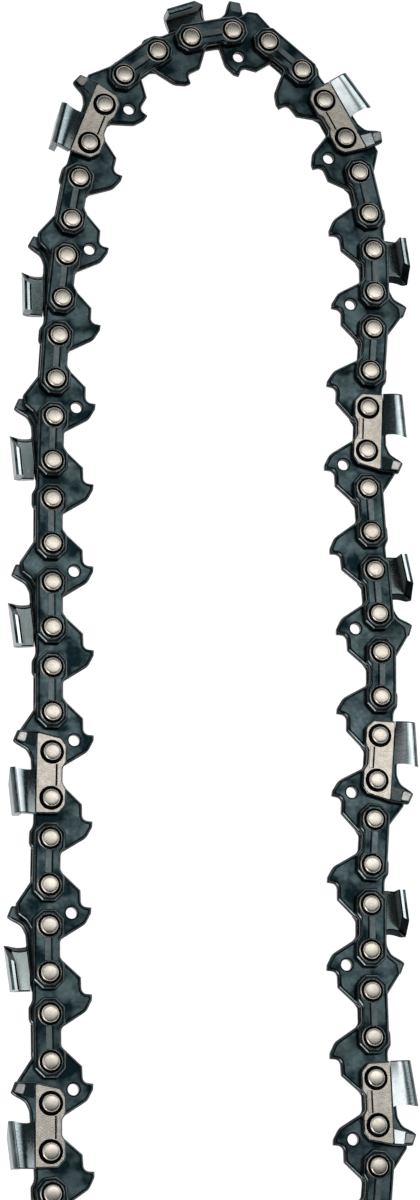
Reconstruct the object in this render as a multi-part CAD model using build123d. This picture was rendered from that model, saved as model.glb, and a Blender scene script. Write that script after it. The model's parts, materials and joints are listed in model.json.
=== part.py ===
"""Chainsaw chain loop, lying on its side: drive links, tie straps and left and right cutters on rivets.

Millimetres, +Z up. The origin is the middle of the loop, on the surface that the chain lies on.
"""
from build123d import *
import cmath
import math
import os

os.makedirs("parts", exist_ok=True)

# Spacing of the rivets: twice the pitch is one drive link and one strap
DRIVE_SPACING = 7.67
STRAP_SPACING = 8.84

# Loop: a side station is a pair of side plates on two rivets, and every second one carries a cutter
SIDE_STATIONS = 36
HELD_STATIONS = 7  # side stations of the lower run, which is one rigid body
SAME_HAND_STATION = 30  # here the chain repeats the hand of its neighbours instead of alternating
CURVE_SAMPLES = 1440

# How the loop lies, as points that its rivet line passes, clockwise from the top
LAY = [
    (-4.9, 130.5), (11.3, 130.8), (22.8, 119.0), (30.0, 103.6), (32.6, 77.9), (30.7, 45.9), (33.1, 5.4),
    (30.8, -36.3), (31.1, -76.9), (30.6, -102.5), (21.7, -123.5), (0.0, -133.2), (-21.7, -123.5),
    (-30.2, -102.5), (-31.1, -82.1), (-31.8, -48.8), (-31.6, -15.9), (-31.9, 17.0), (-31.9, 49.5),
    (-29.8, 82.2), (-25.5, 106.4), (-18.3, 121.6),
]

# Thickness of the plates and the play between them
GAUGE = 1.5
STRAP_THICKNESS = 1.3
SIDE_PLAY = 0.05

# Rivets
HUB_RADIUS = 1.75
HUB_SIDES = 6
HUB_PLAY = 0.1
HEAD_RADIUS = 2.15
HEAD_SIDES = 8
HEAD_HEIGHT = 0.75

# Drive link: the eye around each rivet, then the tang that runs in the bar's groove
EYE_REACH = 3.3
EYE_FLAT = 1.2
EYE_HALF_WIDTH = 3.0
HEEL_RISE = 0.8
HEEL_HALF_LENGTH = 1.2
HEEL_RAMP = 3.3
SHOULDER_DEPTH = 6.1
SHOULDER_FRONT = 3.0
SCOOP_FRONT = 1.9
SCOOP_DEPTH = 6.9
TANG_DEPTH = 8.3
TANG_HEEL = 2.8
TANG_HEEL_DEPTH = 7.1
TIP_ROUND = 1.0
BUMPER_RISE = 6.1
BUMPER_TOP = 1.6
BUMPER_STEP = 1.2
OIL_HOLE_RADIUS = 1.1
OIL_HOLE_SIDES = 7
OIL_HOLE_BACK = 1.2
OIL_HOLE_DEPTH = 4.5

# Tie strap
STRAP_REACH = 3.15
STRAP_END_FLAT = 1.3
STRAP_CORNER = 1.85
STRAP_OUTER = 3.15
STRAP_INNER = 3.0
WAIST = 0.9

# Cutter: depth gauge in front, gullet, then the side plate that bends over into the top plate
GAUGE_REACH = 4.0
GAUGE_TOP = 7.5
GAUGE_LENGTH = 2.3
GAUGE_SLOPE = 0.75
GULLET_KNEE = 2.1
GULLET_RISE = 0.75
GULLET_FLOOR = 3.8
CUTTER_FRONT = 1.1
CUTTER_BACK = 7.6
CUTTER_TOP = 8.1
CUTTER_BEND = 4.0
CUTTER_SHEET = 1.1
CUTTER_KERF = 1.1
CUTTER_ROUND = 0.9
CUTTER_OVERHANG = 2.3
TOP_RELIEF = 0.13
TOP_SWEEP = 2.7

# Heights that follow from the sizes above, counted from the middle plane of the chain
STRAP_BOTTOM = GAUGE / 2 + SIDE_PLAY
STRAP_TOP = STRAP_BOTTOM + STRAP_THICKNESS
MIDDLE_HEIGHT = STRAP_TOP + max(HEAD_HEIGHT, CUTTER_KERF)


def plate(outline, bottom, top):
    """Flat plate with a closed outline, between two heights."""
    face = make_face(Polyline(*outline, close=True))
    return Pos(0, 0, bottom) * extrude(face, top - bottom, dir=(0, 0, 1))


def prism(radius, sides, bottom, top):
    """Upright prism on a regular polygon."""
    return Pos(0, 0, bottom) * extrude(RegularPolygon(radius, sides), top - bottom)


def drive_link(bumper):
    """Drive link. One with a bumper has a ramp on its outer edge and an oil hole in its tang."""
    eye = DRIVE_SPACING / 2
    end = eye + EYE_REACH
    tang = [
        (end, 0),
        (eye + EYE_FLAT, -EYE_HALF_WIDTH),
        (SHOULDER_FRONT, -SHOULDER_DEPTH),
        (SCOOP_FRONT, -SHOULDER_DEPTH),
        (SCOOP_FRONT - TIP_ROUND, -SCOOP_DEPTH),
        (0, -TANG_DEPTH),
        (-TIP_ROUND, -TANG_DEPTH),
        (-TANG_HEEL, -TANG_HEEL_DEPTH),
        (-end, -EYE_FLAT),
    ]
    if bumper:
        back = [
            (-eye, EYE_HALF_WIDTH),
            (-BUMPER_TOP - BUMPER_STEP, EYE_HALF_WIDTH + BUMPER_STEP),
            (-BUMPER_TOP, BUMPER_RISE),
            (0, BUMPER_RISE),
            (eye + EYE_FLAT, EYE_HALF_WIDTH),
        ]
    else:
        back = [
            (-eye - HEEL_HALF_LENGTH, EYE_HALF_WIDTH + HEEL_RISE),
            (-eye + HEEL_HALF_LENGTH, EYE_HALF_WIDTH + HEEL_RISE),
            (-eye + HEEL_RAMP, EYE_HALF_WIDTH),
            (eye + EYE_FLAT, EYE_HALF_WIDTH),
        ]
    link = plate(tang + back, -GAUGE / 2, GAUGE / 2)
    hole_radius = (HUB_RADIUS + HUB_PLAY) / math.cos(math.pi / HUB_SIDES)
    for side in (-1, 1):
        link -= Pos(side * eye, 0) * prism(hole_radius, HUB_SIDES, -GAUGE, GAUGE)
    if bumper:
        hole = prism(OIL_HOLE_RADIUS, OIL_HOLE_SIDES, -GAUGE, GAUGE)
        link -= Pos(-OIL_HOLE_BACK, -OIL_HOLE_DEPTH) * hole
    return link


def tie_strap():
    """Tie strap on the near side, with corners cut at its ends and a waist on its inner edge."""
    end = STRAP_SPACING / 2 + STRAP_REACH
    corner = end - STRAP_CORNER
    outline = [
        (end, STRAP_END_FLAT),
        (end, -STRAP_END_FLAT),
        (corner, -STRAP_INNER),
        (0, -STRAP_INNER + WAIST),
        (-corner, -STRAP_INNER),
        (-end, -STRAP_END_FLAT),
        (-end, STRAP_END_FLAT),
        (-corner, STRAP_OUTER),
        (corner, STRAP_OUTER),
    ]
    return plate(outline, STRAP_BOTTOM, STRAP_TOP)


def cutter():
    """Cutter on the near side: its side plate, its depth gauge and the sheet bent over as the top plate."""
    eye = STRAP_SPACING / 2
    end = eye + STRAP_REACH
    corner = end - STRAP_CORNER
    gauge_front = eye + GAUGE_REACH
    gauge_back = gauge_front - GAUGE_LENGTH
    length = CUTTER_FRONT + CUTTER_BACK
    outline = [
        (end, -STRAP_END_FLAT),
        (corner, -STRAP_INNER),
        (-corner, -STRAP_INNER),
        (-end, -STRAP_END_FLAT),
        (-CUTTER_BACK, CUTTER_BEND - TOP_RELIEF * length),
        (CUTTER_FRONT, CUTTER_BEND),
        (CUTTER_FRONT, GULLET_FLOOR),
        (gauge_back - GULLET_KNEE, GULLET_FLOOR + GULLET_RISE),
        (gauge_back, GAUGE_TOP),
        (gauge_front, GAUGE_TOP - GAUGE_SLOPE),
        (gauge_front, STRAP_OUTER),
    ]
    side_plate = plate(outline, STRAP_BOTTOM, STRAP_TOP)
    # section of the bent sheet: it leans out to the shoulder, then turns over into the top plate
    side_top = CUTTER_TOP - CUTTER_SHEET
    shoulder = STRAP_TOP + CUTTER_KERF
    low = STRAP_BOTTOM - CUTTER_OVERHANG
    profile = [
        (CUTTER_BEND, STRAP_BOTTOM),
        (CUTTER_BEND, STRAP_TOP),
        (side_top - CUTTER_SHEET / 2, shoulder),
        (CUTTER_TOP - CUTTER_ROUND, shoulder),
        (CUTTER_TOP, shoulder - CUTTER_ROUND),
        (CUTTER_TOP, low),
        (side_top, low),
        (side_top, shoulder - CUTTER_SHEET),
    ]
    section = make_face(Polyline(*[(CUTTER_FRONT, y, z) for y, z in profile], close=True))
    run = Vector(-length, -TOP_RELIEF * length, 0)
    sheet = extrude(section, run.length, dir=run)
    # the filed front: it leads at the shoulder and is swept back towards the end of the top plate
    edge = shoulder - CUTTER_ROUND
    ahead = CUTTER_FRONT + CUTTER_SHEET
    below = low - CUTTER_SHEET
    behind = CUTTER_FRONT - TOP_SWEEP * (edge - below) / (edge - low)
    corner_cut = [(CUTTER_FRONT, edge), (ahead, edge), (ahead, below), (behind, below)]
    cut = make_face(Polyline(*[(x, CUTTER_BEND, z) for x, z in corner_cut], close=True))
    return side_plate + (sheet - extrude(cut, CUTTER_TOP, dir=(0, 1, 0)))


def rivet_head():
    """Low peened head, with its rim at height zero."""
    turn = 2 * math.pi / HEAD_SIDES
    rim = [Vector(math.cos(turn * i), math.sin(turn * i)) * HEAD_RADIUS for i in range(HEAD_SIDES)]
    top = Vector(0, 0, HEAD_HEIGHT)
    sides = [Face(Wire.make_polygon([a, b, top])) for a, b in zip(rim, rim[1:] + rim[:1])]
    return Solid(Shell(sides + [Face(Wire.make_polygon(rim))]))


def side_station(near):
    """Near plate, the tie strap opposite, and the two rivets that hold them together."""
    station = near + mirror(tie_strap(), about=Plane.XY)
    head = Pos(0, 0, STRAP_TOP) * rivet_head()
    hub = prism(HUB_RADIUS, HUB_SIDES, -STRAP_BOTTOM, STRAP_BOTTOM)
    for side in (-1, 1):
        place = Pos(side * STRAP_SPACING / 2, 0)
        station += place * hub
        station += place * head
        station += place * mirror(head, about=Plane.XY)
    return station


def walk(curve, gaps):
    """Points along a sampled closed curve at straight gaps from each other, and how far the last one lies."""
    points = [curve[0]]
    along = 0.0
    for gap in gaps:
        here = points[-1]
        index = int(along) + 1
        while abs(curve[index % len(curve)] - here) < gap:
            index += 1
        a = curve[(index - 1) % len(curve)]
        b = curve[index % len(curve)]
        low, high = 0.0, 1.0
        for _ in range(40):
            middle = (low + high) / 2
            if abs(a + (b - a) * middle - here) < gap:
                low = middle
            else:
                high = middle
        along = index - 1 + high
        points.append(a + (b - a) * high)
    return points, along


def rivet_points():
    """Rivet centres around the loop, on the lay curve at the one scale where the last gap meets the first."""
    lay = Spline(*LAY, periodic=True)
    places = [lay.position_at(i / CURVE_SAMPLES) for i in range(CURVE_SAMPLES)]
    curve = [complex(p.X, p.Y) for p in places]
    gaps = [STRAP_SPACING, DRIVE_SPACING] * SIDE_STATIONS
    length = sum(abs(b - a) for a, b in zip(curve, curve[1:] + curve[:1]))
    small, large = 0.9 * sum(gaps) / length, 1.2 * sum(gaps) / length
    for _ in range(50):
        scale = (small + large) / 2
        if walk(curve, [gap / scale for gap in gaps])[1] > CURVE_SAMPLES:
            small = scale
        else:
            large = scale
    points, _ = walk(curve, [gap / scale for gap in gaps])
    return [point * scale for point in points[:-1]]


def placed(shape, back, front):
    """A piece moved so that its two rivets are at two points of the loop."""
    middle = (back + front) / 2
    turn = math.degrees(cmath.phase(front - back))
    return Location((middle.real, middle.imag, MIDDLE_HEIGHT), (0, 0, turn)) * shape


RIVETS = rivet_points()
FIRST_HELD = (SIDE_STATIONS - HELD_STATIONS + 1) // 2
HELD_SIDES = range(FIRST_HELD, FIRST_HELD + HELD_STATIONS)
HELD_LINKS = range(FIRST_HELD - 1, FIRST_HELD + HELD_STATIONS)

PLAIN_LINK = drive_link(bumper=False)
BUMPER_LINK = drive_link(bumper=True)
STRAP_PAIR = side_station(tie_strap())
LEFT_CUTTER = side_station(cutter())
RIGHT_CUTTER = mirror(LEFT_CUTTER, about=Plane.XY)


def side_kind(index):
    """Name and shape of a side station. Cutters are every second one, and their hands alternate."""
    if index % 2:
        return "tie_strap_pair", STRAP_PAIR
    if index % 4 == 2 and index != SAME_HAND_STATION:
        return "cutter_left", LEFT_CUTTER
    return "cutter_right", RIGHT_CUTTER


def main():
    """Writes one file for each link that can move, and three for the lower run."""
    held = {"lower_drive_links": [], "lower_tie_straps": [], "lower_cutters": []}
    nodes = {}
    for index in range(SIDE_STATIONS):
        back, front = RIVETS[2 * index], RIVETS[2 * index + 1]
        following = RIVETS[(2 * index + 2) % len(RIVETS)]
        kind, shape = side_kind(index)
        side = placed(shape, back, front)
        bumper = index % 2 == 0
        link = placed(BUMPER_LINK if bumper else PLAIN_LINK, front, following)
        if index in HELD_SIDES:
            held["lower_tie_straps" if index % 2 else "lower_cutters"].append(side)
        else:
            nodes[f"{kind}_{index + 1:02d}"] = side
        if index in HELD_LINKS:
            held["lower_drive_links"].append(link)
        else:
            link_kind = "bumper_link" if bumper else "drive_link"
            nodes[f"{link_kind}_{index + 1:02d}"] = link
    for name, pieces in held.items():
        nodes[name] = Compound([solid for piece in pieces for solid in piece.solids()])
    for name, shape in nodes.items():
        export_step(shape, f"parts/{name}.step")


main()
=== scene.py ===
"""Chainsaw chain loop: each link of the frame gets rounded plates, peened rivets and its steel finishes."""
import bpy
import bmesh
import json
import math
from mathutils import Matrix, Vector, geometry


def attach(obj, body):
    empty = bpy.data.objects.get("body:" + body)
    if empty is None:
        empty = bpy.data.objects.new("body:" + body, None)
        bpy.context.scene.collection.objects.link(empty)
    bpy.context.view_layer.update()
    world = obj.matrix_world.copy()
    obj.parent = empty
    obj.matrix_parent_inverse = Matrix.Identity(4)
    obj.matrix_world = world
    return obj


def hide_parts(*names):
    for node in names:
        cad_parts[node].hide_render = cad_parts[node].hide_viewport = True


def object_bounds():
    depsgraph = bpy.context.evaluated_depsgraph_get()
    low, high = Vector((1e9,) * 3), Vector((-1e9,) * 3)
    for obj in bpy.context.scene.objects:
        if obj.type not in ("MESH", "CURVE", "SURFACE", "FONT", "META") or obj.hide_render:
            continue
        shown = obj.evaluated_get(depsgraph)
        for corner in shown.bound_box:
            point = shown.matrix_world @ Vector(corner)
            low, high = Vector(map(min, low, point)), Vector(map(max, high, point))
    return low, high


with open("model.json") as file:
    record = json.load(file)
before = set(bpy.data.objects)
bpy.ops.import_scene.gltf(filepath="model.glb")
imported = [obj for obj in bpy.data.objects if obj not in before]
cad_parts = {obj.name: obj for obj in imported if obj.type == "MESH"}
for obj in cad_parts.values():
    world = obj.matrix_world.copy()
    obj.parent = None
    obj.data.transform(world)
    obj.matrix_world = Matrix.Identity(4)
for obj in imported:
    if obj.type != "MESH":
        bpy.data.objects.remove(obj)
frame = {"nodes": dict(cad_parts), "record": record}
cad_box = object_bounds()

MM = 0.001
TURN = 2 * math.pi

# height of the chain's middle above the floor, in metres; other heights are from there, in millimetres
MIDDLE = cad_box[1][2] / 2
# rivet spacing of the side plates and of the drive links, and thickness of the drive links
STRAP_PITCH = 8.84
DRIVE_PITCH = 7.67
GAUGE = 1.5
# the two faces of the side plates, and the top of the CAD's rivet heads
STRAP_LOW = 0.8
STRAP_HIGH = 2.1
HEAD_TOP = 2.85
# half the length of the loop's straight sides, in metres
STRAIGHT_END = 0.09

# how finely round shapes are drawn, and the angle from which an edge is shaded sharp
ARC_STEP = math.radians(11)
POINT_STEP = 0.4
HOLE_SIDES = 30
ROUND_SIDES = 32
SHARP = math.radians(15)
# corners flatter than this aren't rounded, and a corner takes at most this share of a side
FLAT = 0.02
SIDE_SHARE = 0.49
# least cosine at a mitred corner, and the share of an inset's distance below which it has folded over
MITRE = 0.4
FOLDED = 0.96
# points that agree to this many digits are one vertex
WELD_DIGITS = 4

# material slots of every link; the rim slot is painted shade
DARK, EDGE, BLACK, STRIPE, BARE, PLATED, TOP, HEAD, SHANK, SHADE, INNER = range(11)

# bevels of the plates and their rims painted dark as shade, and the middle of a bevel in shares of its width
# and height
STRAP_BEVEL, STRAP_RIM = 0.4, 0.35
CUTTER_BEVEL, CUTTER_RIM = 0.25, 0.3
DRIVE_BEVEL, DRIVE_RIM = 0.3, 0.35
HOLE_BEVEL = 0.12
BEVEL_IN, BEVEL_UP = 0.45, 0.3
# how deep a raised shape reaches into its plate
SUNK = 0.1

# outlines of the plates: x forwards and y outwards from the middle of the link, and corner radius
STRAP = [(-7.57, -1.25, 0.45), (-5.75, -3.0, 0.8), (-2.6, -2.95, 1.4), (-1.5, -2.1, 1.2), (1.5, -2.1, 1.2),
         (2.6, -2.95, 1.4), (5.75, -3.0, 0.8), (7.57, -1.25, 0.45), (7.57, 1.25, 0.45), (5.75, 3.15, 0.8),
         (-5.75, 3.15, 0.8), (-7.57, 1.25, 0.45)]
TANG = [(-7.0, -1.3, 1.6), (-3.3, -7.15, 2.2), (-1.2, -8.25, 1.0), (-0.1, -8.3, 0.12), (0.1, -6.3, 1.2),
        (3.12, -6.2, 0.35), (6.3, -2.75, 1.4), (7.13, 0, 2.2), (6.1, 3.0, 1.6)]
HEEL = [(-1.3, 3.0, 2.2), (-2.4, 3.72, 1.4), (-5.2, 3.72, 1.5), (-7.13, 0.9, 2.2)]
BUMPER = [(4.9, 3.1, 2.5), (0.35, 6.08, 0.7), (-1.65, 5.75, 0.7), (-2.9, 4.1, 1.0), (-4.6, 3.1, 2.0),
          (-7.13, 0.9, 2.2)]
CUTTER = [(-7.6, 2.85, 0.2), (-7.45, -1.4, 0.8), (-5.8, -2.95, 1.3), (-2.5, -2.9, 1.4), (-1.5, -2.15, 1.2),
          (1.5, -2.15, 1.2), (2.5, -2.9, 1.4), (5.8, -2.95, 1.3), (7.35, -1.7, 0.9), (8.4, 3.1, 0.8),
          (8.42, 6.65, 0.35), (6.3, 7.48, 0.35), (5.75, 6.75, 0.5), (4.7, 4.75, 2.2), (3.0, 3.95, 1.6),
          (1.0, 3.8, 0.4), (0.9, 3.9, 0.02)]
GROUND = [(-7.25, 2.82, 0.15), (-7.1, -1.3, 0.7), (-5.65, -2.6, 1.1), (-2.6, -2.6, 1.4), (-1.5, -1.9, 1.2),
          (1.5, -1.9, 1.2), (2.6, -2.6, 1.4), (5.65, -2.6, 1.1), (7.0, -1.6, 0.8), (7.95, 2.82, 0.3)]
GAUGE_BACK = [(5.95, 5.3, 0.4), (8.1, 4.4, 0.4), (8.12, 6.35, 0.4), (6.4, 7.12, 0.35)]
GAUGE_TIP = [(5.75, 5.15, 0.6), (8.05, 4.6, 0.5), (8.1, 6.4, 0.4), (6.4, 7.12, 0.35)]
GAUGE_LEAN = [(5.3, 3.1), (7.9, 3.1), (8.05, 4.75), (5.85, 5.1)]

# rivet holes of a drive link, and the oil hole of a bumper link: x, y and radius
RIVET_HOLE = 1.85
OIL_HOLE = (-1.2, -4.5, 1.1)

# heights of the depth gauge's corners and tip above the plate, and of the ground patches
GAUGE_RISE = 0.58
GAUGE_RISES = (0.0, 0.0, 0.5, GAUGE_RISE)
GAUGE_BEVEL = 0.25
PATCH = 0.03
BACK_PATCH = 0.04

# strips between the rivets: half their length, and their corner radius
STRIP_END = 2.14
STRIP_CORNER = 0.1
# each strip: inner and outer edge, height above the plate, bevel, finishes of its face and its edge
# the black strip on a side plate is painted shade, standing for a groove
STRAP_STRIPS = [(-0.3, 0.87, 0.07, 0.06, STRIPE, EDGE), (-0.62, -0.36, 0.012, 0.01, BLACK, BLACK),
                (-1.68, -0.7, 0.05, 0.05, DARK, EDGE)]
# the black strip on a cutter is painted shade, standing for a groove
CUTTER_STRIPS = [(-1.08, -0.76, 0.045, 0.01, BLACK, BLACK), (-1.78, -1.12, 0.08, 0.06, BARE, EDGE)]

# rivets: radius of the body, then the turned head by radius, height above the plate and finish
BODY_RADIUS = 1.75
RING_FOOT = [(0, -SUNK, BLACK), (2.32, -SUNK, BLACK), (2.32, 0.04, BLACK)]
RING_SLOPE = (2.26, 0.12)
RING_CREST = (2.14, 0.15)
# the black floor between the ring and the head is painted shade
PEENED = [(2.08, 0.12, BLACK), (2.05, 0.05, BLACK), (1.7, 0.05, BLACK), (1.69, 0.25, BLACK),
          (1.67, 0.4, SHANK), (1.63, 0.49, SHANK), (1.58, 0.55, HEAD), (1.5, 0.6, HEAD), (1.38, 0.63, HEAD),
          (1.1, 0.654, HEAD), (0.8, 0.671, HEAD), (0.5, 0.682, HEAD), (0.25, 0.687, HEAD), (0, 0.688, HEAD)]
# finishes of a ring's slope and crest, by the plate it stands on
STRAP_RING = (SHANK, HEAD)
CUTTER_RING = (BLACK, BLACK)

# section across a cutter's bent sheet, x outwards and y up: it leans out, turns over and comes down
FOOT_OUT = 2.95
FOOT = Vector((FOOT_OUT, STRAP_HIGH))
CREST = Vector((7.05, 3.06))
LEAN = math.radians(17)
LEAN_RADIUS = 5.47
LEAN_SHARES = (0, 0.07, 0.4, 0.7)
# width of the dark line along the crest, as an angle
LINE_ANGLE = 0.014
# arc of the shoulder, then the outer face of the top plate below it
SHOULDER_RADIUS = 1.0
SHOULDER_STEPS = 9
SHOULDER_END = 2.06
TOP_OUT = 8.05
TOP_DRAFT = 0.01
TOP_HEIGHTS = (1.4, 0.5, -0.5, -1.5)
# thickness of the sheet and of the top plate, slope of the inside, and its corner under the shoulder
SHEET = 1.0
TOP_SHEET = 1.35
INNER_RISE = 0.15
INNER_CORNER = (Vector((6.78, 1.62)), Vector((6.7, 1.5)))
# turns of the section, in radians: where the bright plating ends and the sheet turns darker by painted
# shade, where the edge's finish ends, and nearly upright
PLATED_TO = 0.3
EDGE_TO = 0.8
UPRIGHT = 1.5
# the sheet along the link: its two ends, the hollow of its front, and the front's sweep below a height
SHEET_BACK = -7.6
SHEET_FRONT = 1.1
HOLLOW = 1.5
SWEEP = 0.72
SWEEP_FROM = 2.3
# how far its inside ends behind its outside, and how much it narrows to the back, at this far from the foot
FILED = 0.8
RELIEF = 0.13
RELIEF_LENGTH = 3
# its borders in another finish, and the count of spans along it
BORDER = 0.25
SPANS = 4
# where the free edge of the top plate changes its finish; its inner share is black, as painted shade
FREE_SHARES = (0.4, 0.76)
FREE_SLOTS = (DARK, PLATED, BLACK)


def rounded(corners):
    """Closed outline from corners (x, y, radius), each turned into an arc, with points close together."""
    points = []
    for i, (x, y, radius) in enumerate(corners):
        here = Vector((x, y))
        before = Vector(corners[i - 1][:2]) - here
        after = Vector(corners[(i + 1) % len(corners)][:2]) - here
        angle = before.angle(after)
        if radius <= 0 or angle > math.pi - FLAT:
            points.append(here)
            continue
        cut = min(radius / math.tan(angle / 2), SIDE_SHARE * before.length, SIDE_SHARE * after.length)
        radius = cut * math.tan(angle / 2)
        before.normalize()
        after.normalize()
        start = here + before * cut
        centre = here + (before + after).normalized() * (radius / math.sin(angle / 2))
        first = math.atan2(*reversed(start - centre))
        last = math.atan2(*reversed(here + after * cut - centre))
        sweep = (last - first + math.pi) % TURN - math.pi
        count = max(1, math.ceil(abs(sweep) / ARC_STEP))
        for k in range(count + 1):
            a = first + sweep * k / count
            points.append(centre + Vector((math.cos(a), math.sin(a))) * radius)
    dense = []
    for a, b in zip(points, points[1:] + points[:1]):
        count = max(1, math.ceil((b - a).length / POINT_STEP))
        dense += [a.lerp(b, k / count) for k in range(count)]
    return dense


def ring(x, y, radius):
    """Round hole, run clockwise so that the plate lies on its left."""
    around = [-TURN * i / HOLE_SIDES for i in range(HOLE_SIDES)]
    return [Vector((x + radius * math.cos(a), y + radius * math.sin(a))) for a in around]


def strip(low, high):
    """Lengthwise strip between the two rivets."""
    corners = [(-STRIP_END, low), (STRIP_END, low), (STRIP_END, high), (-STRIP_END, high)]
    return rounded([(x, y, STRIP_CORNER) for x, y in corners])


def from_outline(point, outline):
    """Distance of a point from a closed outline."""
    least = math.inf
    for a, b in zip(outline, outline[1:] + outline[:1]):
        share = geometry.intersect_point_line(point, a, b)[1]
        near = a.lerp(b, min(1, max(0, share)))
        least = min(least, (point - near).length)
    return least


def inset(outline, distance):
    """Outline moved to its left, into the plate; points that would fold over at a sharp corner close up."""
    moved = []
    for i, here in enumerate(outline):
        back = (here - outline[i - 1]).normalized()
        ahead = (outline[(i + 1) % len(outline)] - here).normalized()
        left = Vector((-back.y, back.x))
        middle = (left + Vector((-ahead.y, ahead.x))).normalized()
        moved.append(here + middle * (distance / max(MITRE, middle.dot(left))))
    if distance == 0:
        return moved
    clear = [from_outline(p, outline) > FOLDED * distance for p in moved]
    count = len(moved)
    for i in range(count):
        if not clear[i]:
            step = next(k for k in range(count) if clear[(i + k) % count] or clear[i - k])
            moved[i] = moved[(i + step) % count if clear[(i + step) % count] else i - step].copy()
    return moved


def row_of(bm, points, z):
    """Vertices of a loop at one height; points that have closed up share one."""
    made = {}
    row = []
    for p in points:
        key = (round(p.x, WELD_DIGITS), round(p.y, WELD_DIGITS))
        if key not in made:
            made[key] = bm.verts.new((p.x, p.y, z))
        row.append(made[key])
    return row


def band(bm, low, high, slot):
    """Faces between two rows that have their vertices in step."""
    for i in range(len(low)):
        corner = list(dict.fromkeys((low[i - 1], low[i], high[i], high[i - 1])))
        if len(corner) > 2:
            bm.faces.new(corner).material_index = slot


def cap(bm, rows, up, slot):
    """Flat face inside the first row and outside the others."""
    edges = []
    for row in rows:
        edges += [bm.edges.get((a, b)) for a, b in zip(row[-1:] + row, row) if a != b]
    made = bmesh.ops.triangle_fill(bm, edges=edges, use_beauty=True, normal=(0, 0, 1 if up else -1))
    for face in made["geom"]:
        if isinstance(face, bmesh.types.BMFace):
            face.material_index = slot
            face.normal_update()
            if (face.normal.z > 0) != up:
                face.normal_flip()


def plate(bm, outline, low, high, bevel, face=DARK, edge=EDGE, rim=0.0, holes=()):
    """Plate with rounded edges, a rim painted darker along them as shade, and holes."""
    lower, upper = [], []
    borders = [(outline, bevel, edge, rim)] + [(hole, HOLE_BEVEL, BLACK, rim / 2) for hole in holes]
    for loop, cut, lip, dark in borders:
        steps = [(cut, low), (BEVEL_IN * cut, low + BEVEL_UP * cut), (0, low + cut),
                 (0, high - cut), (BEVEL_IN * cut, high - BEVEL_UP * cut), (cut, high)]
        # the bevels take the edge's finish, lighter in part as painted highlight; the upright walls are
        # black, in part as painted shade
        slots = [lip, BLACK, BLACK, BLACK, lip]
        # a rim of painted shade on the face, inside the bevel
        if rim:
            steps = [(cut + dark, low)] + steps + [(cut + dark, high)]
            slots = [SHADE] + slots + [SHADE]
        rows = [row_of(bm, inset(loop, distance), z) for distance, z in steps]
        for below, above, slot in zip(rows, rows[1:], slots):
            band(bm, below, above, slot)
        lower.append(rows[0])
        upper.append(rows[-1])
    cap(bm, lower, False, face)
    cap(bm, upper, True, face)


def raised(bm, outline, height, bevel, face, edge):
    """Raised shape on the outer face of a side plate."""
    plate(bm, outline, STRAP_HIGH - SUNK, STRAP_HIGH + height, bevel, face, edge)


def lathe(bm, x, profile, side=1):
    """Turned piece on an upright axis, from (radius, height, slot) points; side -1 is the far face."""
    rows = []
    for radius, z, _ in profile:
        around = [side * TURN * i / ROUND_SIDES for i in range(ROUND_SIDES if radius else 1)]
        row = [bm.verts.new((x + radius * math.cos(a), radius * math.sin(a), side * z)) for a in around]
        rows.append(row if radius else row * ROUND_SIDES)
    for below, above, (_, _, slot) in zip(rows, rows[1:], profile[1:]):
        band(bm, below, above, slot)


def rivet(bm, x, rings):
    """Rivet body between the plates, and on each face a peened head in a ring of the given finishes."""
    body = [(0, -STRAP_LOW), (BODY_RADIUS, -STRAP_LOW), (BODY_RADIUS, STRAP_LOW), (0, STRAP_LOW)]
    lathe(bm, x, [(r, z, BLACK) for r, z in body])
    for side, (slope, crest) in zip((1, -1), rings):
        head = [*RING_FOOT, (*RING_SLOPE, slope), (*RING_CREST, crest), *PEENED]
        lathe(bm, x, [(r, STRAP_HIGH + z, slot) for r, z, slot in head], side)


def bend_section():
    """Rows across the bent sheet of a cutter: outside, inside, reach of the filed edge, two finishes."""
    rows = []
    knee = CREST + LEAN_RADIUS * Vector((-math.sin(LEAN), math.cos(LEAN) - 1))
    for share in LEAN_SHARES:
        rows.append((FOOT.lerp(knee, share), -LEAN))
    for a in (LEAN, LEAN / 2, LINE_ANGLE, 0):
        rows.append((CREST + LEAN_RADIUS * Vector((-math.sin(a), math.cos(a) - 1)), -a))
    for k in range(1, SHOULDER_STEPS + 1):
        a = k * math.pi / (2 * SHOULDER_STEPS)
        rows.append((CREST + SHOULDER_RADIUS * Vector((math.sin(a), math.cos(a) - 1)), a))
    for z in TOP_HEIGHTS:
        rows.append((Vector((TOP_OUT + TOP_DRAFT * (SHOULDER_END - z), z)), math.pi / 2))
    section = []
    for outside, turn in rows:
        normal = Vector((math.sin(turn), math.cos(turn)))
        inside = outside - (TOP_SHEET if turn > UPRIGHT else SHEET) * normal
        if turn <= 0:
            inside.y = FOOT.y - SHEET + INNER_RISE * (inside.x - FOOT.x)
        elif turn < UPRIGHT:
            inside = INNER_CORNER[0].lerp(INNER_CORNER[1], turn)
        side = (outside.x - FOOT.x) / (CREST.x - FOOT.x)
        lead = SHEET_FRONT - HOLLOW * side * (1 - side) if side < 1 else SHEET_FRONT
        lead -= SWEEP * max(0, SWEEP_FROM - outside.y) * (side > 1)
        # the plated sheet is painted darker as it turns away, as shade: first the edge's finish, then the
        # top's
        slot = PLATED if turn < PLATED_TO else (EDGE if turn < EDGE_TO else TOP)
        # dark lines painted as shade along the foot and the crest
        slot = SHADE if turn == 0 or len(section) == 1 else slot
        section.append((outside, inside, lead, slot, INNER if turn <= 0 else BLACK))
    return section


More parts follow.
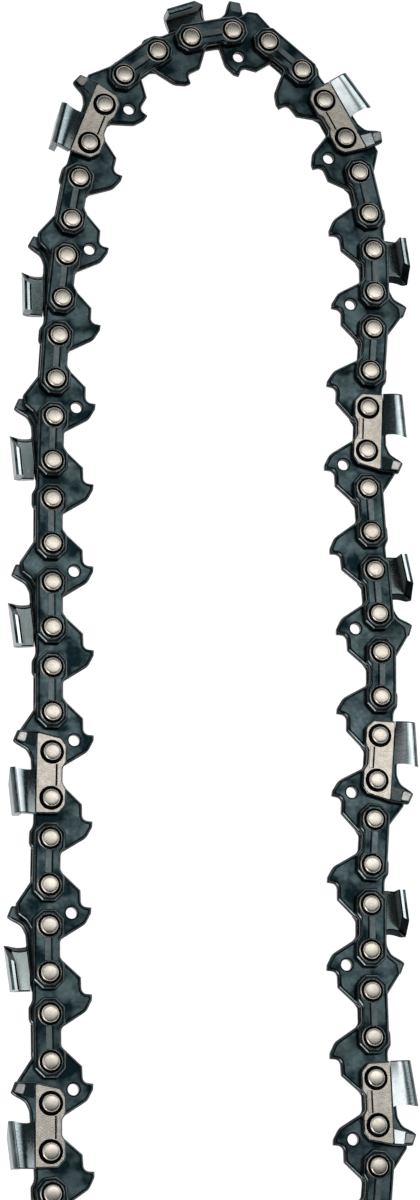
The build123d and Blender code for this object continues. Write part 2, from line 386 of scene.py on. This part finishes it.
def bent_plate(bm):
    """Side plate that leans out, turns over its rounded shoulder and ends as the swept top plate."""
    outer, inner, finish = [], [], []
    for outside, inside, lead, *slots in bend_section():
        share = min(1, (outside.x - FOOT_OUT) / RELIEF_LENGTH)
        for rows, point, tip in ((outer, outside, lead), (inner, inside, lead - FILED)):
            along = [SHEET_BACK, SHEET_BACK + BORDER, (SHEET_BACK + tip) / 2, tip - BORDER, tip]
            points = [(u, point.x - share * RELIEF * (SHEET_FRONT - u), point.y) for u in along]
            rows.append([bm.verts.new(p) for p in points])
        finish.append(slots)

    def face(slot, *corners):
        bm.faces.new(corners).material_index = slot

    last = len(outer) - 1
    free = []
    for share in FREE_SHARES:
        free.append([bm.verts.new(o.co.lerp(i.co, share)) for o, i in zip(outer[last], inner[last])])
    for i in range(last):
        split = free if i + 1 == last else []
        out, out_next, inn, inn_next = outer[i], outer[i + 1], inner[i], inner[i + 1]
        outside_slot, inside_slot = finish[i + 1]
        for k in range(SPANS):
            border = k in (0, SPANS - 1)
            face(outside_slot if k else EDGE, out[k], out[k + 1], out_next[k + 1], out_next[k])
            # the inside's end borders and the filed front face are painted dark as shade
            face(SHADE if border else inside_slot, inn_next[k], inn_next[k + 1], inn[k + 1], inn[k])
        face(SHADE, out[-1], inn[-1], inn_next[-1], *(row[-1] for row in split[::-1]), out_next[-1])
        face(EDGE, inn[0], out[0], out_next[0], *(row[0] for row in split), inn_next[0])
    across = [outer[last], *free, inner[last]]
    for k in range(SPANS):
        for a, b, slot in zip(across, across[1:], FREE_SLOTS):
            face(slot, a[k], a[k + 1], b[k + 1], b[k])
        face(BLACK, inner[0][k], inner[0][k + 1], outer[0][k + 1], outer[0][k])


def gauge_lean(bm):
    """Face of the depth gauge that rises from the side plate to its tip."""
    foot = [bm.verts.new((u, w, STRAP_HIGH - SUNK)) for u, w in GAUGE_LEAN]
    face = [bm.verts.new((u, w, STRAP_HIGH + rise)) for (u, w), rise in zip(GAUGE_LEAN, GAUGE_RISES)]
    bm.faces.new(face).material_index = PLATED
    bm.faces.new(foot[::-1]).material_index = BLACK
    band(bm, foot, face, EDGE)


def tie_strap(bm):
    """Plain side plate with its raised strips."""
    plate(bm, rounded(STRAP), STRAP_LOW, STRAP_HIGH, STRAP_BEVEL, rim=STRAP_RIM)
    for low, high, *rest in STRAP_STRIPS:
        raised(bm, strip(low, high), *rest)


def cutter(bm):
    """Side plate of a cutter with its ground patch, strips, depth gauge and bent top plate."""
    plate(bm, rounded(CUTTER), STRAP_LOW, STRAP_HIGH, CUTTER_BEVEL, rim=CUTTER_RIM)
    raised(bm, rounded(GROUND), PATCH, PATCH, BARE, BARE)
    for low, high, *rest in CUTTER_STRIPS:
        raised(bm, strip(low, high), *rest)
    gauge_lean(bm)
    raised(bm, rounded(GAUGE_TIP), GAUGE_RISE, GAUGE_BEVEL, SHANK, STRIPE)
    plate(bm, rounded(GAUGE_BACK), STRAP_LOW - BACK_PATCH, STRAP_LOW + SUNK, PATCH, STRIPE)
    bent_plate(bm)


def drive_link(bm, bumper):
    """Drive link with its two rivet holes; one with a bumper also has an oil hole."""
    holes = [ring(side * DRIVE_PITCH / 2, 0, RIVET_HOLE) for side in (-1, 1)]
    if bumper:
        holes.append(ring(*OIL_HOLE))
    outline = rounded(TANG + (BUMPER if bumper else HEEL))
    plate(bm, outline, -GAUGE / 2, GAUGE / 2, DRIVE_BEVEL, rim=DRIVE_RIM, holes=holes)


def mirrored(bm, build):
    """The same piece on the far face of the chain."""
    twin = bmesh.new()
    build(twin)
    bmesh.ops.scale(twin, vec=(1, 1, -1), verts=twin.verts)
    bmesh.ops.reverse_faces(twin, faces=twin.faces)
    spare = bpy.data.meshes.new("far_side")
    twin.to_mesh(spare)
    twin.free()
    bm.from_mesh(spare)
    bpy.data.meshes.remove(spare)


def side_station(bm, near, far):
    """Two side plates, near and far, with the two rivets that hold them."""
    near(bm)
    mirrored(bm, far)
    rings = [CUTTER_RING if build is cutter else STRAP_RING for build in (near, far)]
    for side in (-1, 1):
        rivet(bm, side * STRAP_PITCH / 2, rings)


def node_material(name, build):
    """New material with a Principled shader, handed to build with its nodes and links."""
    material = bpy.data.materials.new(name)
    material.use_nodes = True
    tree = material.node_tree
    build(tree.nodes, tree.links, tree.nodes["Principled BSDF"])
    return material


def noise(nodes, links, scale, detail=4.0):
    """Noise in the link's own coordinates."""
    where = nodes.new("ShaderNodeTexCoord")
    texture = nodes.new("ShaderNodeTexNoise")
    texture.inputs["Scale"].default_value = scale
    texture.inputs["Detail"].default_value = detail
    links.new(where.outputs["Object"], texture.inputs["Vector"])
    return texture.outputs["Fac"]


def ramp(nodes, links, source, stops):
    """Colour ramp from (position, grey or colour) stops."""
    node = nodes.new("ShaderNodeValToRGB")
    while len(node.color_ramp.elements) < len(stops):
        node.color_ramp.elements.new(0.5)
    for element, (position, colour) in zip(node.color_ramp.elements, stops):
        element.position = position
        element.color = (*colour, 1) if isinstance(colour, tuple) else (colour, colour, colour, 1)
    links.new(source, node.inputs["Fac"])
    return node.outputs["Color"]


VECTOR = "ShaderNodeVectorMath"
SCALAR = "ShaderNodeMath"


def calculated(nodes, links, kind, operation, *values):
    """Result of a math node, whose inputs are sockets or constants."""
    node = nodes.new(kind)
    node.operation = operation
    for socket, value in zip(node.inputs, values):
        if isinstance(value, bpy.types.NodeSocket):
            links.new(value, socket)
        else:
            socket.default_value = value
    return node.outputs["Vector" if kind == VECTOR and operation != "LENGTH" else "Value"]


# slow drift of the tone along the chain: scale and detail of its noise, and its range
DRIFT = (70, 1)
DRIFT_STOPS = [(0.3, 0.8), (0.7, 1.0)]
# fine grain: how many times finer than the tone, its detail, and where it is smoothest and roughest
FINER = 6
FINE_DETAIL = 6
FINE_LOW, FINE_HIGH = 0.3, 0.75
GRAIN_DEPTH = 0.1 * MM


def steel(name, low, high, rough, scale, bump, spread=(0.32, 0.68)):
    """Steel whose tone, gloss and fine relief vary over the surface, with a slow drift of its tone."""
    def build(nodes, links, shader):
        tone = ramp(nodes, links, noise(nodes, links, scale), [(spread[0], low), (spread[1], high)])
        drift = ramp(nodes, links, noise(nodes, links, *DRIFT), DRIFT_STOPS)
        fine = noise(nodes, links, scale * FINER, FINE_DETAIL)
        colour = calculated(nodes, links, VECTOR, "MULTIPLY", tone, drift)
        links.new(colour, shader.inputs["Base Color"])
        gloss = ramp(nodes, links, fine, [(FINE_LOW, rough[0]), (FINE_HIGH, rough[1])])
        links.new(gloss, shader.inputs["Roughness"])
        shader.inputs["Metallic"].default_value = 1.0
        relief = nodes.new("ShaderNodeBump")
        relief.inputs["Strength"].default_value = bump
        relief.inputs["Distance"].default_value = GRAIN_DEPTH
        links.new(fine, relief.inputs["Height"])
        links.new(relief.outputs["Normal"], shader.inputs["Normal"])
    return node_material(name, build)


# in the order of the slots: darkest and lightest tone, roughness, scale of the tone, relief, tone's spread
MATERIALS = [
    steel("blued_steel", (0.007, 0.019, 0.023), (0.108, 0.152, 0.16), (0.25, 0.4), 230, 0.2, (0.38, 0.62)),
    # edge wear, and painted light: lighter bevels as painted highlights, and a darker band of painted shade
    # on the cutter's plated shoulder
    steel("worn_edge_and_painted_light", (0.06, 0.075, 0.08), (0.2, 0.225, 0.23), (0.18, 0.32), 500, 0.15),
    # black oxide, and also painted shade: plate walls, hole bevels, the floor around the rivet heads and
    # dark lines
    steel("black_oxide_and_shade", (0.001, 0.0015, 0.002), (0.005, 0.007, 0.008), (0.3, 0.45), 500, 0.2),
    steel("coined_stripe", (0.12, 0.145, 0.155), (0.2, 0.23, 0.24), (0.28, 0.42), 450, 0.25),
    steel("ground_steel", (0.56, 0.485, 0.42), (0.74, 0.65, 0.565), (0.22, 0.34), 800, 0.14),
    steel("plated_steel", (0.5, 0.55, 0.56), (0.66, 0.7, 0.71), (0.07, 0.15), 350, 0.08),
    # the plating of the top plate, painted darker as shade
    steel("plated_top_with_painted_shade", (0.085, 0.105, 0.11), (0.16, 0.185, 0.19), (0.16, 0.28), 350, 0.15),
    steel("rivet_head", (0.71, 0.615, 0.53), (0.9, 0.79, 0.69), (0.22, 0.32), 700, 0.006, (0.3, 0.62)),
    steel("rivet_shank", (0.3, 0.29, 0.27), (0.5, 0.48, 0.45), (0.16, 0.28), 700, 0.1),
    # painted shade: dark rims along plate edges, and the dark lines, borders and filed front of the cutter's
    # sheet
    steel("painted_shade_rim", (0.002, 0.004, 0.005), (0.014, 0.024, 0.027), (0.3, 0.45), 500, 0.2),
    steel("satin_inside", (0.6, 0.68, 0.66), (0.74, 0.82, 0.79), (0.2, 0.28), 400, 0.02),
]


def prototype(name, build):
    """Mesh of one kind of link, in metres."""
    bm = bmesh.new()
    build(bm)
    bmesh.ops.scale(bm, vec=(MM, MM, MM), verts=bm.verts)
    mesh = bpy.data.meshes.new(name)
    bm.to_mesh(mesh)
    bm.free()
    for material in MATERIALS:
        mesh.materials.append(material)
    mesh.shade_smooth()
    mesh.set_sharp_from_angle(angle=SHARP)
    return mesh


KINDS = {
    "tie_strap_pair": prototype("tie_strap_pair", lambda bm: side_station(bm, tie_strap, tie_strap)),
    "cutter_left": prototype("cutter_left", lambda bm: side_station(bm, cutter, tie_strap)),
    "cutter_right": prototype("cutter_right", lambda bm: side_station(bm, tie_strap, cutter)),
    "drive_link": prototype("drive_link", lambda bm: drive_link(bm, False)),
    "bumper_link": prototype("bumper_link", lambda bm: drive_link(bm, True)),
}
# in metres: how exactly a rivet head's point is at its height, and how far apart two of them are at least
AT_HEIGHT = 1e-6
APART = 1e-4


def rivet_tops(node):
    """Where the rivets of a CAD node of side plates stand: the points of its rivet heads."""
    top = MIDDLE + HEAD_TOP * MM
    found = []
    for corner in (v.co for v in frame["nodes"][node].data.vertices):
        if abs(corner.z - top) < AT_HEIGHT and all((corner.xy - f).length > APART for f in found):
            found.append(corner.xy)
    return found


def travel(a, b):
    """The two rivets in the chain's direction of travel, with the outside of the loop on the left."""
    middle = (a + b) / 2
    outward = middle - Vector((0, min(STRAIGHT_END, max(-STRAIGHT_END, middle.y))))
    ahead = b - a
    return (a, b) if Vector((-ahead.y, ahead.x)).dot(outward) > 0 else (b, a)


def paired(tops):
    """Rivets of a node with several side plates, two by two in the direction of travel."""
    pairs = []
    while tops:
        a = tops.pop()
        b = min(tops, key=lambda p: (p - a).length)
        tops.remove(b)
        pairs.append(travel(a, b))
    return pairs


def kind_and_number(node):
    """Kind of link and its place along the chain from 0, or no place for the nodes of the lower run."""
    kind, _, number = node.rpartition("_")
    return kind, int(number) - 1 if number.isdigit() else None


def place(kind, back, front, body, node, name):
    """One link between two rivets, standing for its CAD node."""
    mesh = KINDS[kind].copy()
    ahead = front - back
    middle = (back + front) / 2
    turn = Matrix.Rotation(math.atan2(ahead.y, ahead.x), 4, "Z")
    mesh.transform(Matrix.Translation((middle.x, middle.y, MIDDLE)) @ turn)
    mesh.name = name
    piece = bpy.data.objects.new(name, mesh)
    bpy.context.scene.collection.objects.link(piece)
    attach(piece, body)
    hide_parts(node)


LOWER_LINKS = "lower_drive_links"
body_of = {node: body for body, nodes in frame["record"]["behaviour"]["bodies"].items() for node in nodes}
sides, links_at, held = {}, {}, []
for node in frame["nodes"]:
    kind, number = kind_and_number(node)
    if kind in ("drive_link", "bumper_link"):
        links_at[number] = (kind, node)
    elif number is not None:
        sides[number] = (kind, node, travel(*rivet_tops(node)))
    elif node != LOWER_LINKS:
        held += [(node, pair) for pair in paired(rivet_tops(node))]
# the lower run continues from the last side plates on the right, one pair after the other
number = 0
while number in sides:
    number += 1
while held:
    front = sides[number - 1][2][1]
    nearest = min(held, key=lambda h: (h[1][0] - front).length)
    held.remove(nearest)
    kind = "tie_strap_pair" if number % 2 else ("cutter_left" if number % 4 == 2 else "cutter_right")
    sides[number] = (kind, *nearest)
    number += 1
for number, (kind, node, (back, front)) in sides.items():
    place(kind, back, front, body_of[node], node, f"{kind}_{number + 1:02d}_dressed")
    following = sides[(number + 1) % len(sides)][2][0]
    kind, node = links_at.get(number, ("drive_link" if number % 2 else "bumper_link", LOWER_LINKS))
    place(kind, front, following, body_of[node], node, f"{kind}_{number + 1:02d}_dressed")


FLOOR_SIZE = 6
FLOOR_GREY = (0.5, 0.5, 0.5, 1)
FLOOR_ROUGHNESS = 0.9
FLOOR_GLOW = 0.9


def floor():
    """Pale floor that shows white to the camera and in metal, and still takes the chain's shadow."""
    bpy.ops.mesh.primitive_plane_add(size=FLOOR_SIZE, location=(0, 0, 0))
    ground = bpy.context.object
    ground.name = "floor"

    def build(nodes, links, shader):
        shader.inputs["Base Color"].default_value = FLOOR_GREY
        shader.inputs["Roughness"].default_value = FLOOR_ROUGHNESS
        shader.inputs["Specular IOR Level"].default_value = 0.0
        shader.inputs["Emission Color"].default_value = (1, 1, 1, 1)
        rays = nodes.new("ShaderNodeLightPath").outputs
        seen = calculated(nodes, links, SCALAR, "MAXIMUM", rays["Is Camera Ray"], rays["Is Glossy Ray"])
        seen = calculated(nodes, links, SCALAR, "MAXIMUM", seen, rays["Is Transmission Ray"])
        glow = calculated(nodes, links, SCALAR, "MULTIPLY", seen, FLOOR_GLOW)
        links.new(glow, shader.inputs["Emission Strength"])

    ground.data.materials.append(node_material("floor_white", build))


KEY_PLACE = Vector((-0.4, -0.48, 0.62))
KEY_SIZE = 0.4
KEY_POWER = 1.8


def key_lamp():
    """Soft lamp at the lower left, aimed at the middle of the loop."""
    lamp = bpy.data.lights.new("key", "AREA")
    lamp.shape = "RECTANGLE"
    lamp.size = lamp.size_y = KEY_SIZE
    lamp.energy = KEY_POWER
    light = bpy.data.objects.new("key", lamp)
    bpy.context.scene.collection.objects.link(light)
    light.location = KEY_PLACE
    light.rotation_euler = (-KEY_PLACE).to_track_quat("-Z", "Y").to_euler()


# the world's light by height, and its soft boxes: middle, spread, and stops from the middle outwards
HORIZON = [(0.0, 0.55), (0.1, 0.45), (0.25, (0.28, 0.31, 0.32)), (0.57, (0.34, 0.37, 0.38)),
           (0.67, (0.006, 0.01, 0.011))]
LARGE_BOX = ((0.2, 0.2), (0.3, 0.14),
             [(0.15, 1.0), (0.5, (0.34, 0.4, 0.41)), (0.66, (0.035, 0.05, 0.055)), (0.74, 0.0)])
SMALL_BOX = ((-0.34, -0.02), (0.16, 0.13), [(0.3, 0.7), (0.6, 0.15), (0.93, 0.045), (1.0, 0.0)])
WORLD_STRENGTH = 2.2


def soft_box(nodes, links, direction, centre, spread, stops):
    """Glow of a soft box, by a direction's distance from its middle in shares of twice its spread."""
    away = calculated(nodes, links, VECTOR, "SUBTRACT", direction, (*centre, 0))
    scaled = calculated(nodes, links, VECTOR, "MULTIPLY", away, (0.5 / spread[0], 0.5 / spread[1], 0))
    return ramp(nodes, links, calculated(nodes, links, VECTOR, "LENGTH", scaled), stops)


def studio():
    """World with two soft boxes overhead, dark between them and a bright ring around, and the key lamp."""
    world = bpy.data.worlds.new("studio")
    bpy.context.scene.world = world
    world.use_nodes = True
    nodes, links = world.node_tree.nodes, world.node_tree.links
    direction = nodes.new("ShaderNodeTexCoord").outputs["Generated"]
    split = nodes.new("ShaderNodeSeparateXYZ")
    links.new(direction, split.inputs[0])
    horizon = ramp(nodes, links, split.outputs["Z"], HORIZON)
    boxes = [soft_box(nodes, links, direction, *box) for box in (LARGE_BOX, SMALL_BOX)]
    glow = calculated(nodes, links, VECTOR, "ADD", *boxes)
    light = calculated(nodes, links, VECTOR, "ADD", horizon, glow)
    links.new(light, nodes["Background"].inputs["Color"])
    nodes["Background"].inputs["Strength"].default_value = WORLD_STRENGTH
    key_lamp()


# camera from the fit of the photo's rivets: where its axis meets the chain, its direction, distance and lens
AIM = Vector((-1.134, 14.5, 5.9))
TOWARDS = (-0.20, -0.22)
DISTANCE = 629.7
FOCAL_PIXELS = 3255.7
PHOTO_HEIGHT = 1200
SENSOR = 24
CLIP_START = 0.01


def camera():
    """Camera at the photo's viewing angle, with the photo's framing."""
    towards = Vector((*TOWARDS, 0))
    towards.z = math.sqrt(1 - towards.length_squared)
    data = bpy.data.cameras.new("camera")
    data.sensor_fit = "VERTICAL"
    data.sensor_height = SENSOR
    data.lens = SENSOR * FOCAL_PIXELS / PHOTO_HEIGHT
    data.clip_start = CLIP_START
    eye = bpy.data.objects.new("camera", data)
    bpy.context.scene.collection.objects.link(eye)
    up = (Vector((0, 1, 0)) - towards * towards.y).normalized()
    right = up.cross(towards)
    turn = Matrix((right, up, towards)).transposed().to_4x4()
    eye.matrix_world = Matrix.Translation(AIM * MM + towards * DISTANCE * MM) @ turn
    bpy.context.scene.camera = eye


floor()
studio()
camera()
bpy.context.scene.view_settings.view_transform = "Standard"
bpy.context.view_layer.update()
